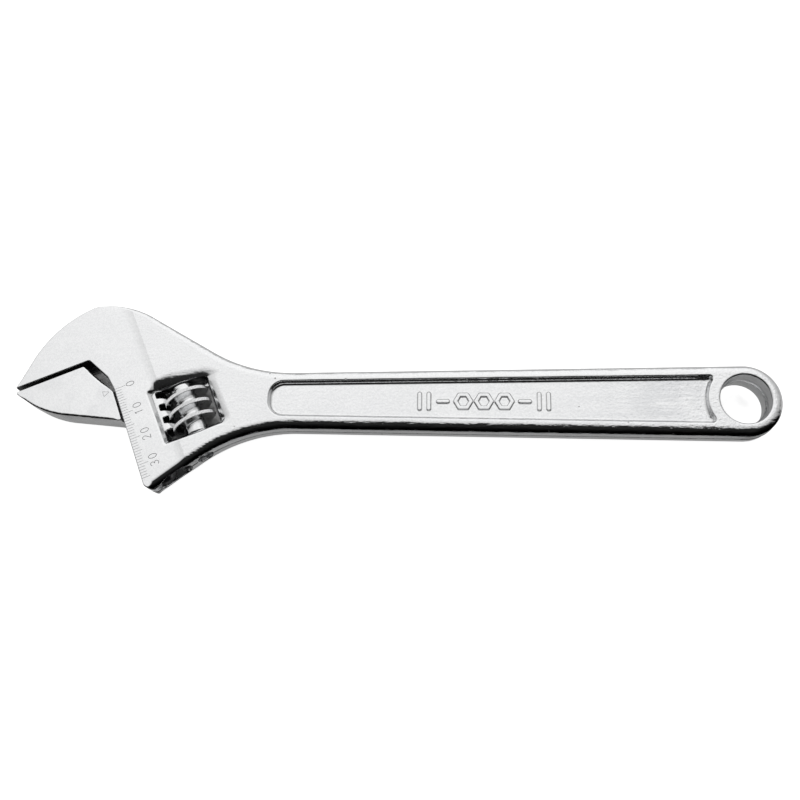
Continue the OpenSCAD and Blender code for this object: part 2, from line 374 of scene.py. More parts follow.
def body_field(x, y, z):
    height = np.abs(z)
    u, s = row_to_head(x, y)
    solid = forging_field(x, y, z)
    # Panel recess, with leaning walls and an eye left round the hang hole
    rho = np.hypot(x, y)
    recess = meet(RECESS_OUTLINE.distance(x, y), EYE_R - rho, 2.5)
    floor_z = HALF_T - RECESS_DEPTH
    recess = meet(recess + (HALF_T - height) * RECESS_WALL_LEAN, floor_z - height, 0.9)
    solid = cut(solid, recess, 0.4)
    # The raised mark, on the front face only
    mark = meet(mark_distance(x, y) - MARK_STROKE / 2, z - floor_z - MARK_RISE, 0.35)
    solid = join(solid, np.maximum(mark, floor_z - 1 - z), 0.3)
    # Hang hole, with the flash line's ridge half way down
    solid = cut(solid, rho - HOLE_R + HOLE_FLASH - (HOLE_FLASH + HOLE_OPEN) * smooth(height, 0.3, 1.5), 1.0)
    # Window for the worm, softest on the front's upper rim
    top_rim = smooth(-s, -8, -5) * smooth(-u, 13, 16) * smooth(z, -3, 3)
    rim_r = RIM_R + TOP_RIM_R * top_rim + FAR_RIM_R * smooth(-u, 34, 37) * (1 - top_rim)
    solid = cut(solid, window_field(u, s, height), rim_r)
    # Rack channel and the web's slot
    channel = stadium(u, z, RACK_SPREAD / 2 - RACK_BACK, RACK_SPREAD, RACK_R + RACK_GAP)
    solid = cut(solid, np.maximum(channel, CHANNEL_END - s), 0.4)
    slot = np.maximum(np.maximum(height - WEB_T / 2 - RACK_GAP, -RACK_BACK - u), WEB_S[0] - 2.2 - s)
    solid = cut(solid, slot, 0.25)
    # Stepped hole for the pin, countersunk where it leaves the head
    across = np.hypot(u + WORM_BACK, z)
    solid = cut(solid, np.maximum(across - PIN_R - 0.02, between(s, PIN_S[0], WINDOW_S[0] + 1)), 0.15)
    return cut(solid, np.maximum(across - PIN_HEAD_R - 0.02, WINDOW_S[1] - 1 - s), 0.35)


def body_painted_dark(x, y, z):
    """1 on walls deep inside the head, where near-black shade is painted; less on the fixed jaw and the
    throat, where it stands for a dark reflection on the ground faces.
    """
    u, s = row_to_head(x, y)
    channel_mouth = smooth(s, 25.5, 27)
    depth = -forging_field(x, y, z) + 1.3 * channel_mouth
    deep = smooth(depth, 1.9, 3.6) * smooth(-x, 190, 200) * smooth(u, -45, -38)
    deep = deep * (1 - 0.45 * smooth(-u, 34, 35.5) * smooth(s, 3, 5))
    grip = smooth(u, -0.6, -0.3) * smooth(s, -20.2, -19.8) * smooth(-s, 3, 4)
    return np.maximum(deep, GRIP_PAINTED_BLACK * grip * smooth(GROUND_Z - np.abs(z), 0.1, 0.6))


def body_forged(x, y, z):
    """1 where the skin is as forged, 0 where the head is ground flat, little on the window's flares."""
    u, s = row_to_head(x, y)
    off_window = smooth(window_field(u, s, np.abs(z)), 0.2, 1.0)
    return smooth(-ridge_distance(u, s), -0.3, 0.3) * (0.2 + 0.8 * off_window)


def jaw_painted_dark(u, s, z):
    """1 deep between the rack's teeth, where near-black shade is painted; less on the ground faces towards
    the fixed jaw and the head, where it stands for a dark reflection.
    """
    in_rack = -stadium(u, z, RACK_SPREAD / 2 - RACK_BACK, RACK_SPREAD, RACK_R)
    deep = smooth(in_rack, 0.3, 1.6) * smooth(-u, 13.5, 14.5)
    past_back, past_face = u - JAW_BACK_U, s - JAW_FACE_S
    throat = past_back * THROAT_S + past_face * THROAT_U - THROAT_U * THROAT_S
    face = np.minimum(np.minimum(past_back, past_face), throat / math.hypot(THROAT_U, THROAT_S))
    grip = smooth(-face, -0.4, -0.2) * smooth(u, -1, 0) * smooth(GROUND_Z - np.abs(z), 0.1, 0.6)
    return np.maximum(deep, GRIP_PAINTED_BLACK * grip)


def nowhere(u, s, z):
    return np.zeros(u.shape)


def jaw_field(u, s, z):
    height = np.abs(z)
    soft = smooth(s - FACE_S, 3, 6) * smooth(u, 1.5, 4)
    edge_r = MACHINED_EDGE_R + (JAW_EDGE_R - MACHINED_EDGE_R) * soft
    block = meet(JAW_OUTLINE.distance(u, s) + DRAFT * height * soft, height - GROUND_Z, edge_r)
    web = np.maximum(height - WEB_T / 2, np.maximum(between(u, -RACK_BACK, 1.5), between(s, *WEB_S)))
    bar = stadium(u, z, RACK_SPREAD / 2 - RACK_BACK, RACK_SPREAD, RACK_R)
    bar = meet(bar, between(s, *RACK_S), 0.9)
    # Teeth: slots slanted by the worm's lead angle
    lead = math.atan(PITCH / (2 * math.pi * (WORM_R - 1)))
    depth = u + RACK_BACK + RACK_R
    first = THREAD_REF + BACKLASH - 4 * PITCH
    along = s + z * math.tan(lead) - first
    offset = along - PITCH * np.clip(np.round(along / PITCH), 0, GROOVE_COUNT - 1)
    half_w = GROOVE_TIP / 2 + (GROOVE_FLOOR - GROOVE_TIP) / 2 * depth / GROOVE_DEPTH
    groove = meet((np.abs(offset) - half_w) * math.cos(lead), depth - GROOVE_DEPTH, 0.4)
    bar = cut(bar, groove, 0.3)
    return join(block, join(bar, web, 0.3), 0.3)


def worm_field(u, s, z):
    du = u + WORM_BACK
    rho = np.hypot(du, z)
    angle = np.arctan2(z, du)
    along = s - THREAD_REF + PITCH * angle / (2 * math.pi)
    offset = np.abs(along - PITCH * np.round(along / PITCH))
    share = (rho - CORE_R + 0.5) / (WORM_R - CORE_R + 0.5)
    half_w = ROOT_T / 2 + (CREST_T - ROOT_T) / 2 * share
    knurl = KNURL_DEPTH * (0.5 - 0.5 * np.cos(KNURL_TEETH * angle))
    thread = meet(offset - half_w, rho - WORM_R + knurl, 0.15)
    thread = meet(thread, between(s, *THREAD_S), 0.25)
    core = meet(rho - CORE_R, between(s, *WORM_S), 0.3)
    solid = join(thread, core, 0.6)
    solid = cut(solid, rho - PIN_R - 0.08, 0.2)
    return cut(solid, np.maximum(rho - POCKET_R, s - POCKET_END), 0.2)


def pin_field(u, s, z):
    du = u + WORM_BACK
    rho = np.hypot(du, z)
    shank = meet(rho - PIN_R + 0.03, between(s, PIN_S[0] + 0.02, PIN_S[1]), 0.3)
    head = meet(rho - PIN_HEAD_R + 0.04, between(s, PIN_HEAD_START + 0.02, PIN_S[1]), 0.45)
    slot = np.maximum(np.abs(z) - 0.5, PIN_S[1] - 1.2 - s)
    return cut(join(shank, head, 0.1), slot, 0.15)


# ------------------------------------------------------------------ from field to mesh


def gradient(field, points, step=0.02):
    parts = []
    for axis in range(3):
        shift = np.zeros(3)
        shift[axis] = step
        ahead = field(*(points + shift).T)
        behind = field(*(points - shift).T)
        parts.append((ahead - behind) / (2 * step))
    return np.stack(parts, 1)


def onto_surface(field, points, rounds, most):
    """Moves points along the field's gradient until they lie on its surface."""
    for _ in range(rounds):
        slope = gradient(field, points)
        square = np.maximum((slope ** 2).sum(1), 0.05)
        step = slope * (field(*points.T) / square)[:, None]
        length = np.linalg.norm(step, axis=1)
        step *= np.minimum(1, most / np.maximum(length, 1e-9))[:, None]
        points = points - step
    return points


def sampled(field, axes):
    """The field at every node of a grid, worked out only near the surface."""
    side = 8
    shape = tuple(len(axis) for axis in axes)
    starts = [np.arange(0, n, side) for n in shape]
    ends = [np.minimum(start + side, n - 1) for start, n in zip(starts, shape)]
    lows = [axis[start] for axis, start in zip(axes, starts)]
    highs = [axis[end] for axis, end in zip(axes, ends)]
    centres = np.meshgrid(*[(low + high) / 2 for low, high in zip(lows, highs)], indexing="ij")
    halves = np.meshgrid(*[(high - low) / 2 for low, high in zip(lows, highs)], indexing="ij")
    reach = np.sqrt(sum(half ** 2 for half in halves))
    middle = field(*[centre.ravel() for centre in centres]).reshape(reach.shape)
    near = np.abs(middle) < 1.5 * reach + 0.5
    spread = [np.arange(n) // side for n in shape]
    values = middle[np.ix_(*spread)]
    wanted = near[np.ix_(*spread)]
    i, j, k = np.nonzero(wanted)
    values[wanted] = field(axes[0][i], axes[1][j], axes[2][k])
    return values


def cells_to_quads(values, axes):
    """Surface nets: a point in each cell that the surface crosses, a quad across each crossed grid edge."""
    inside = values < 0
    corners = [(a, b, c) for a in (0, 1) for b in (0, 1) for c in (0, 1)]
    size = [n - 1 for n in values.shape]

    def corner_view(array, corner):
        return array[tuple(slice(c, c + n) for c, n in zip(corner, size))]

    count = sum(corner_view(inside, corner).astype(np.int8) for corner in corners)
    active = (count > 0) & (count < 8)
    number = np.full(active.shape, -1, np.int64)
    number[active] = np.arange(active.sum())
    cell = np.argwhere(active)
    total = np.zeros((len(cell), 3))
    crossings = np.zeros(len(cell))
    for corner in corners:
        for axis in range(3):
            if corner[axis]:
                continue
            first = cell + np.array(corner)
            second = first.copy()
            second[:, axis] += 1
            va, vb = values[tuple(first.T)], values[tuple(second.T)]
            crossed = (va < 0) != (vb < 0)
            t = va[crossed] / (va[crossed] - vb[crossed])
            pa = np.stack([axes[n][first[crossed, n]] for n in range(3)], 1)
            pb = np.stack([axes[n][second[crossed, n]] for n in range(3)], 1)
            total[crossed] += pa + (pb - pa) * t[:, None]
            crossings[crossed] += 1
    points = total / crossings[:, None]
    quads = []
    for axis in range(3):
        second, third = (axis + 1) % 3, (axis + 2) % 3
        low = [slice(None)] * 3
        high = [slice(None)] * 3
        low[axis], high[axis] = slice(0, -1), slice(1, None)
        crossed = inside[tuple(low)] != inside[tuple(high)]
        node = np.argwhere(crossed)
        room = (node[:, second] > 0) & (node[:, third] > 0)
        room &= (node[:, second] < size[second]) & (node[:, third] < size[third])
        node = node[room]
        ring = []
        for back in ((1, 1), (0, 1), (0, 0), (1, 0)):
            at = node.copy()
            at[:, second] -= back[0]
            at[:, third] -= back[1]
            ring.append(number[tuple(at.T)])
        ring = np.stack(ring, 1)
        leaving = inside[tuple(node.T)]
        ring[~leaving] = ring[~leaving][:, ::-1]
        quads.append(ring)
    return points, np.concatenate(quads)


def new_mesh(name, points, faces):
    """Mesh from arrays; faces is an array with one row per face."""
    mesh = bpy.data.meshes.new(name)
    sides = faces.shape[1]
    mesh.vertices.add(len(points))
    mesh.vertices.foreach_set("co", points.astype(np.float32).ravel())
    mesh.loops.add(faces.size)
    mesh.loops.foreach_set("vertex_index", faces.astype(np.int32).ravel())
    mesh.polygons.add(len(faces))
    mesh.polygons.foreach_set("loop_start", np.arange(0, faces.size, sides, dtype=np.int32))
    mesh.update(calc_edges=True)
    mesh.validate()
    return mesh


def show(name, mesh):
    piece = bpy.data.objects.new(name, mesh)
    bpy.context.scene.collection.objects.link(piece)
    return piece


def thinned(mesh, triangles):
    """The mesh with its flat stretches in fewer, larger triangles."""
    ratio = triangles / (2 * len(mesh.polygons))
    piece = show("scratch", mesh)
    modifier = piece.modifiers.new("fewer", "DECIMATE")
    modifier.ratio = min(1, ratio)
    modifier.use_collapse_triangulate = True
    graph = bpy.context.evaluated_depsgraph_get()
    result = bpy.data.meshes.new_from_object(piece.evaluated_get(graph))
    bpy.data.objects.remove(piece)
    bpy.data.meshes.remove(mesh)
    return result


def coordinates(mesh):
    points = np.zeros(len(mesh.vertices) * 3, np.float32)
    mesh.vertices.foreach_get("co", points)
    return points.reshape(-1, 3).astype(float)


def mark_points(mesh, name, values):
    """Stores one number for each point, for the materials."""
    attribute = mesh.attributes.new(name, "FLOAT", "POINT")
    attribute.data.foreach_set("value", values.astype(np.float32))


def field_piece(name, field, axes, triangles, in_head=True, painted_dark=nowhere, forged=nowhere):
    """One closed, smooth-shaded mesh of a field; in_head says that the field is in head coordinates."""
    values = sampled(field, axes)
    points, quads = cells_to_quads(values, axes)
    spacing = min(axis[1] - axis[0] for axis in axes)
    points = onto_surface(field, points, 2, spacing / 2)
    mesh = thinned(new_mesh(name, points, quads), triangles)
    mesh.name = name
    points = onto_surface(field, coordinates(mesh), 1, spacing / 4)
    normals = gradient(field, points)
    normals /= np.maximum(np.linalg.norm(normals, axis=1), 1e-9)[:, None]
    # How sharply the surface bends, positive on outer edges and negative in corners, for wear, and for grime
    # and painted shade in the corners
    reach = 0.3
    bend = -6 * field(*points.T)
    for axis in range(3):
        shift = np.zeros(3)
        shift[axis] = reach
        bend += field(*(points + shift).T) + field(*(points - shift).T)
    mark_points(mesh, "bend", bend / reach ** 2)
    # Where near-black shade or a dark reflection is painted, for the materials
    mark_points(mesh, "painted_dark", painted_dark(*points.T))
    mark_points(mesh, "forged", forged(*points.T))
    if in_head:
        turn = np.array([[*TOWARDS_TIPS, 0], [*ALONG, 0], [0, 0, 1]])
        points = points @ turn + np.array([*HEAD_ORIGIN, 0])
        normals = normals @ turn
    mesh.vertices.foreach_set("co", (points * MM).astype(np.float32).ravel())
    mesh.update()
    mesh.polygons.foreach_set("use_smooth", np.ones(len(mesh.polygons), bool))
    mesh.normals_split_custom_set_from_vertices(normals.astype(np.float32).tolist())
    return show(name, mesh)


def grid(low, high, step):
    """Evenly spaced grid from a little below low to a little above high."""
    count = int(math.ceil((high - low) / step)) + 5
    middle = (low + high) / 2
    return middle + (np.arange(count) - (count - 1) / 2) * step


def graded(stops, steps):
    """Grid along one axis with its own step between each pair of stops."""
    parts = [np.arange(a, b, step) for a, b, step in zip(stops[:-1], stops[1:], steps)]
    return np.concatenate(parts)


def tube(name, path, radius, sides):
    """Closed round wire along a path of points, in millimetres in the row frame."""
    path = np.array(path, float)
    ways = np.gradient(path, axis=0)
    ways /= np.linalg.norm(ways, axis=1)[:, None]
    across = np.cross(ways, [0, 0, 1.0])
    across /= np.linalg.norm(across, axis=1)[:, None]
    up = np.cross(across, ways)
    points, faces = [], []
    for here, a, b in zip(path, across, up):
        for k in range(sides):
            w = 2 * math.pi * k / sides
            points.append((here + radius * (a * math.cos(w) + b * math.sin(w))) * MM)
    for i in range(len(path) - 1):
        for k in range(sides):
            m = (k + 1) % sides
            faces.append([i * sides + k, i * sides + m, (i + 1) * sides + m, (i + 1) * sides + k])
    last = (len(path) - 1) * sides
    faces.append(list(range(sides))[::-1])
    faces.append([last + k for k in range(sides)])
    mesh = bpy.data.meshes.new(name)
    mesh.from_pydata([tuple(p) for p in points], [], faces)
    mesh.polygons.foreach_set("use_smooth", np.ones(len(mesh.polygons), bool))
    return show(name, mesh)


# ------------------------------------------------------------------ materials


def tone(value):
    return (value, value, value, 1)


class Nodes:
    """A node tree, with short ways to add nodes. A value is a number, a tuple or another node's output."""

    def __init__(self, tree):
        self.tree = tree

    def node(self, kind, **settings):
        node = self.tree.nodes.new(kind)
        for name, value in settings.items():
            setattr(node, name, value)
        return node

    def link(self, source, target):
        self.tree.links.new(source, target)

    def feed(self, target, value):
        if isinstance(value, bpy.types.NodeSocket):
            self.link(value, target)
        else:
            target.default_value = value

    def math(self, operation, *values, kind="ShaderNodeMath"):
        node = self.node(kind, operation=operation)
        for socket, value in zip(node.inputs, values):
            self.feed(socket, value)
        return node.outputs["Value" if operation == "DOT_PRODUCT" else 0]

    def range(self, value, low, high, to_low=0.0, to_high=1.0, kind="SMOOTHSTEP"):
        node = self.node("ShaderNodeMapRange", interpolation_type=kind)
        for name, number in (("From Min", low), ("From Max", high), ("To Min", to_low), ("To Max", to_high)):
            self.feed(node.inputs[name], number)
        self.link(value, node.inputs["Value"])
        return node.outputs["Result"]

    def ramp(self, value, stops):
        """Smooth curve of brightness through stops (value from -1 to 1, brightness)."""
        curve = self.node("ShaderNodeValToRGB")
        elements = curve.color_ramp.elements
        for element, (place, brightness) in ((elements[0], stops[0]), (elements[-1], stops[-1])):
            element.position = (place + 1) / 2
            element.color = tone(brightness)
        for place, brightness in stops[1:-1]:
            elements.new((place + 1) / 2).color = tone(brightness)
        self.link(self.range(value, -1, 1, kind="LINEAR"), curve.inputs[0])
        return curve.outputs[0]


class Shading(Nodes):
    """A material's nodes. Texture sizes are in millimetres."""

    def __init__(self, name):
        self.material = bpy.data.materials.new(name)
        self.material.use_nodes = True
        super().__init__(self.material.node_tree)
        self.shader = self.tree.nodes["Principled BSDF"]
        self.coordinates = self.node("ShaderNodeTexCoord").outputs["Object"]

    def attribute(self, name):
        return self.node("ShaderNodeAttribute", attribute_name=name).outputs["Fac"]

    def off_flat(self):
        """0 on the flat faces, 1 on edges and walls."""
        node = self.node("ShaderNodeSeparateXYZ")
        self.link(self.node("ShaderNodeTexCoord").outputs["Normal"], node.inputs[0])
        return self.range(self.math("ABSOLUTE", node.outputs["Z"]), 0.999, 0.96)

    def place(self, turn=0.0, stretch=(1, 1, 1)):
        """Coordinates turned about Z, then stretched."""
        node = self.node("ShaderNodeMapping", vector_type="TEXTURE")
        node.inputs["Rotation"].default_value = (0, 0, turn)
        node.inputs["Scale"].default_value = stretch
        self.link(self.coordinates, node.inputs["Vector"])
        return node.outputs[0]

    def noise(self, size, detail=2.0, vector=None, roughness=0.5):
        node = self.node("ShaderNodeTexNoise")
        node.inputs["Scale"].default_value = 1 / (size * MM)
        node.inputs["Detail"].default_value = detail
        node.inputs["Roughness"].default_value = roughness
        self.link(vector or self.coordinates, node.inputs["Vector"])
        return node.outputs["Fac"]

    def spots(self, spacing, low, high):
        """1 at a few scattered points, fading to 0 between low and high times the spacing away from them."""
        node = self.node("ShaderNodeTexVoronoi")
        node.inputs["Scale"].default_value = 1 / (spacing * MM)
        self.link(self.coordinates, node.inputs["Vector"])
        return self.range(node.outputs["Distance"], low, high, 1, 0)

    def axis(self, letter):
        node = self.node("ShaderNodeSeparateXYZ")
        self.link(self.coordinates, node.inputs[0])
        return node.outputs[letter]

    def mix(self, factor, a, b):
        node = self.node("ShaderNodeMix", data_type="RGBA")
        for name, value in ((0, factor), (6, a), (7, b)):
            self.feed(node.inputs[name], value)
        return node.outputs[2]

    def bump(self, height, depth, strength=1.0, before=None):
        """Bump of a height from 0 to 1; depth is in millimetres."""
        node = self.node("ShaderNodeBump")
        node.inputs["Distance"].default_value = depth * MM
        self.feed(node.inputs["Strength"], strength)
        self.link(height, node.inputs["Height"])
        if before is not None:
            self.link(before, node.inputs["Normal"])
        return node.outputs["Normal"]

    def finish(self, colour, roughness, normal):
        self.shader.inputs["Metallic"].default_value = 1
        self.feed(self.shader.inputs["Base Color"], colour)
        self.feed(self.shader.inputs["Roughness"], roughness)
        self.link(normal, self.shader.inputs["Normal"])
        return self.material


CHROME = (0.83, 0.833, 0.836, 1)
DULL = (0.6, 0.61, 0.625, 1)
WORN = (0.86, 0.865, 0.87, 1)
# Dark grey for pits, discolouring and grime, and for painted shade in concave corners
GRIME_AND_SHADE = (0.16, 0.155, 0.15, 1)
# Near-black: painted shade deep inside the head and between the rack's teeth, and a painted dark reflection
# on the ground jaw faces
PAINTED_BLACK = (0.035, 0.035, 0.037, 1)
GRAIN_TURN = math.atan2(ALONG[1], ALONG[0])


def worn_grimy_and_shaded(shading, colour):
    """The colour with bright worn edges, grime and painted shade in the corners, near-black painted shade on
    deep inner walls and a painted dark reflection on the ground jaw faces.
    """
    bend, painted_dark, off_flat = shading.attribute("bend"), shading.attribute("painted_dark"), shading.off_flat()
    patchy = shading.noise(2.5, 3)
    edge = shading.math("MULTIPLY", shading.range(bend, 0.5, 2.0), shading.range(patchy, 0.3, 0.7))
    edge = shading.math("MULTIPLY", edge, off_flat)
    colour = shading.mix(shading.math("MULTIPLY", edge, 0.8), colour, WORN)
    # Concave corners darken in patches: partly grime, partly painted shade
    grime_and_shade_share = shading.range(patchy, 0.25, 0.75, 0.1, 0.5)
    corner = shading.math("MULTIPLY", shading.range(bend, -0.5, -2.5), grime_and_shade_share)
    colour = shading.mix(shading.math("MULTIPLY", corner, off_flat), colour, GRIME_AND_SHADE)
    # Painted shade and painted dark reflection in near-black, on walls and edges only
    return shading.mix(shading.math("MULTIPLY", painted_dark, off_flat), colour, PAINTED_BLACK)


def forged_chrome(name):
    """Bright plate over the forging's skin: waves and pits as forged, fine scratches where ground."""
    shading = Shading(name)
    forged, bend, painted_dark = (shading.attribute(part) for part in ("forged", "bend", "painted_dark"))
    along_handle = shading.axis("X")
    # 1 towards the eye, where the skin is roughest
    near_eye = shading.range(along_handle, -0.085, -0.012)
    cloud = shading.noise(14, 3)
    streak = shading.noise(1.0, 3, shading.place(0, (14, 1, 1)))
    shade = shading.math("ADD", shading.math("MULTIPLY", cloud, 0.5), shading.math("MULTIPLY", streak, 0.5))
    shade = shading.range(shade, 0.36, 0.62)
    off_middle = shading.math("ABSOLUTE", shading.axis("Y"))
    in_panel = shading.math("MULTIPLY", shading.range(off_middle, 0.0098, 0.0092),
                            shading.range(along_handle, -0.0125, -0.0145))
    streaky = shading.math("MULTIPLY", shading.math("MULTIPLY", near_eye, in_panel), 0.45)
    amount = shading.math("MULTIPLY", shading.math("ADD", streaky, 0.1), shade)
    amount = shading.math("ADD", amount, shading.range(shading.noise(0.7, 2), 0.35, 0.65, 0, 0.2))
    colour = shading.mix(amount, CHROME, DULL)
    pits = shading.spots(7, 0.03, 0.055)
    colour = shading.mix(shading.math("MULTIPLY", pits, shading.math("MULTIPLY", forged, 0.7)), colour, GRIME_AND_SHADE)
    colour = worn_grimy_and_shaded(shading, colour)
    polish = shading.range(cloud, 0.3, 0.7, 0.1, 0.15)
    roughness = shading.math("ADD", polish, shading.math("MULTIPLY", painted_dark, 0.35))
    # Skin of the forging: waves on the rounded edges, orange peel, fine speckle, pits
    wide = shading.math("MULTIPLY", shading.range(bend, 0.08, 0.25), shading.range(bend, 0.5, 0.75, 1, 0))
    edge = shading.math("MULTIPLY", wide, shading.off_flat())
    waves = shading.noise(1.5, 3, shading.place(0, (3.5, 1, 1)))
    peel = shading.noise(1.1, 2)
    speckle = shading.noise(0.5, 1)
    rough = shading.math("MULTIPLY", forged, shading.math("MULTIPLY_ADD", near_eye, 0.6, 0.4))
    rough = shading.math("MULTIPLY", rough, shading.math("MULTIPLY_ADD", shading.off_flat(), -0.7, 1.0))
    wavy = shading.math("MULTIPLY", forged, shading.math("MULTIPLY_ADD", edge, 0.8, 0.06))
    normal = shading.bump(waves, 0.27, wavy)
    normal = shading.bump(peel, 0.25, rough, normal)
    normal = shading.bump(speckle, 0.1, rough, normal)
    normal = shading.bump(pits, -0.12, forged, normal)
    # Grinding marks run across the head
    marks = shading.noise(0.25, 2, shading.place(GRAIN_TURN, (30, 1, 1)))
    ground = shading.math("SUBTRACT", 1.0, forged)
    normal = shading.bump(marks, 0.012, ground, normal)
    waviness = shading.noise(6, 1)
    normal = shading.bump(waviness, 0.06, ground, normal)
    return shading.finish(colour, roughness, normal)


def ground_chrome(name, edge_waves):
    """Bright plate over a ground surface, with fine marks and an uneven polish on its rounded edges."""
    shading = Shading(name)
    cloud = shading.noise(9, 3)
    grain = shading.range(shading.noise(0.7, 2), 0.35, 0.65, 0, 0.2)
    amount = shading.math("ADD", shading.range(cloud, 0.4, 0.7, 0, 0.2), grain)
    colour = shading.mix(amount, CHROME, DULL)
    colour = worn_grimy_and_shaded(shading, colour)
    polish = shading.range(cloud, 0.3, 0.7, 0.12, 0.18)
    roughness = shading.math("ADD", polish, shading.math("MULTIPLY", shading.attribute("painted_dark"), 0.35))
    edge = shading.math("MULTIPLY", shading.range(shading.attribute("bend"), 0.08, 0.3), shading.off_flat())
    normal = shading.bump(shading.noise(2.4, 2), edge_waves, shading.math("MULTIPLY_ADD", edge, 0.8, 0.08))
    marks = shading.noise(0.25, 2, shading.place(GRAIN_TURN, (1, 30, 1)))
    normal = shading.bump(marks, 0.012, 1.0, normal)
    return shading.finish(colour, roughness, normal)


def turned_steel(name, colour, wear):
    """Turned or drawn steel: fine rings round the worm's axis, with a little discolouring."""
    shading = Shading(name)
    cloud = shading.noise(3, 3)
    shade = shading.mix(shading.range(cloud, 0.35, 0.7), (*colour, 1), (*[0.6 * part for part in colour], 1))
    shade = shading.mix(shading.range(shading.spots(1.4, 0.1, 0.25), 0, 1, 0, wear), shade, GRIME_AND_SHADE)
    rings = shading.noise(0.3, 2, shading.place(GRAIN_TURN, (1, 12, 12)))
    normal = shading.bump(rings, 0.02)
    return shading.finish(shade, shading.range(cloud, 0.3, 0.7, 0.2, 0.34), normal)


def etched(name, colour):
    """Matt lines etched through the chrome, a little uneven in depth."""
    shading = Shading(name)
    patchy = shading.noise(0.6, 2)
    darker = (*[0.6 * part for part in colour], 1)
    shade = shading.mix(patchy, (*colour, 1), darker)
    material = shading.finish(shade, 0.6, shading.bump(patchy, 0.01))
    shading.shader.inputs["Metallic"].default_value = 0.3
    return material


# ------------------------------------------------------------------ the pieces


def make_body(material):
    fine, coarse, up = ((0.34, 1.1, 0.34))
    stops = [BODY_LOW[0] - 1, -176, MARK_X[0] - 1, MARK_X[1] + 1, -20, END_R + 1.5]
    xs = graded(stops, [fine, coarse, fine, coarse, fine])
    ys = grid(BODY_LOW[1], BODY_HIGH[1], fine)
    zs = grid(-HALF_T, HALF_T, up)
    triangles = 185000
    piece = field_piece("wrench_body", body_field, (xs, ys, zs), triangles, False, body_painted_dark, body_forged)
    piece.data.materials.append(material)
    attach(piece, "body")
    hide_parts("body")
    return piece


def make_jaw(material):
    fine = 0.32
    axes = (grid(*JAW_SPAN_U, fine), grid(*JAW_SPAN_S, fine), grid(-GROUND_Z, GROUND_Z, fine))
    piece = field_piece("lower_jaw", jaw_field, axes, 90000, painted_dark=jaw_painted_dark)
    piece.data.materials.append(material)
    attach(piece, "jaw")
    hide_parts("movable_jaw")
    return piece


def make_worm(material):
    fine = 0.2
    across = grid(-WORM_BACK - WORM_R, -WORM_BACK + WORM_R, fine)
    axes = (across, grid(*WORM_S, fine), grid(-WORM_R, WORM_R, fine))
    piece = field_piece("knurl_worm", worm_field, axes, 110000)
    piece.data.materials.append(material)
    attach(piece, "worm")
    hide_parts("worm")
    return piece


def make_pin(material):
    fine = 0.16
    span = PIN_HEAD_R
    axes = (grid(-WORM_BACK - span, -WORM_BACK + span, fine), grid(*PIN_S, fine), grid(-span, span, fine))
    piece = field_piece("slotted_pin", pin_field, axes, 30000)
    piece.data.materials.append(material)
    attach(piece, "body")
    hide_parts("worm_pin")
    return piece


def make_spring(material):
    """Coil spring with closed ends, in the worm's pocket."""
    low = WINDOW_S[0] + WIRE_R + 0.02
    high = POCKET_END - WIRE_R - 0.05
    path = []
    turn_steps = 48
    steps = int(turn_steps * SPRING_TURNS)
    for i in range(steps + 1):
        w = 2 * math.pi * i / turn_steps
        u, s, z = SPRING_R * math.cos(w) - WORM_BACK, low + (high - low) * i / steps, -SPRING_R * math.sin(w)
        path.append([*head_to_row(u, s), z])
    piece = tube("worm_coil", path, WIRE_R, 14)
    piece.data.materials.append(material)
    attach(piece, "body")
    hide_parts("worm_spring")
    return piece


def strokes_mesh(name, strokes, width, top):
    """Flat closed bars, each between two points in head coordinates."""
    points, faces = [], []
    for (u0, s0), (u1, s1) in strokes:
        a, b = np.array([u0, s0]), np.array([u1, s1])
        way = unit(b - a)
        side = np.array([-way[1], way[0]]) * width / 2
        first = len(points)
        for level in (top - LINE_H, top):
            for corner in (a - side, b - side, b + side, a + side):
                points.append((*(head_to_row(*corner) * MM), level * MM))
        faces += [[first + k for k in face] for face in
                  ((0, 3, 2, 1), (4, 5, 6, 7), (0, 1, 5, 4), (1, 2, 6, 5), (2, 3, 7, 6), (3, 0, 4, 7))]
    mesh = bpy.data.meshes.new(name)
    mesh.from_pydata(points, [], faces)
    return show(name, mesh)


def digit_lines(digit):
    """Lines of a plain digit in a box 1 wide and 1 high, as lists of points."""
    if digit == "0":
        return [arc_points(0.5, 0.5, 0.46, 0.5, 0, 360, 20)]
    if digit == "1":
        return [[(0.25, 0.8), (0.55, 1.0), (0.55, 0.0)]]
    if digit == "2":
        return [arc_points(0.48, 0.72, 0.4, 0.28, 170, -30, 12) + [(0.06, 0.0), (0.94, 0.0)]]
    return [arc_points(0.45, 0.75, 0.4, 0.25, 150, -90, 12), arc_points(0.45, 0.25, 0.46, 0.25, 90, -150, 12)]


def tick_strokes():
    """Ticks from the slide face."""
    strokes = []
    for i in range(TICK_COUNT):
        length = TICK_LENGTHS[10 if i % 10 == 0 else 5 if i % 5 == 0 else 1]
        s = TICK_START + i * TICK_SPACING
        strokes.append(((-TICK_INSET, s), (-TICK_INSET - length, s)))
    return strokes


def digit_strokes():
    """The numbers 0 to 30, which read towards the fixed jaw."""
    strokes = []
    for tens in range(4):
        label = str(tens * 10)
        middle = TICK_START + tens * 10 * TICK_SPACING
        span = (len(label) - 1) * DIGIT_STEP + DIGIT_W
        for place, digit in enumerate(label):
            start = middle + span / 2 - place * DIGIT_STEP
            for line in digit_lines(digit):
                spots = [(DIGIT_U - DIGIT_H / 2 + y * DIGIT_H, start - x * DIGIT_W) for x, y in line]
                strokes += list(zip(spots[:-1], spots[1:]))
    return strokes


def make_scale(name, strokes, width, material):
    piece = strokes_mesh(name, strokes, width, LINE_TOP)
    piece.data.materials.append(material)
    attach(piece, "body")
    return piece


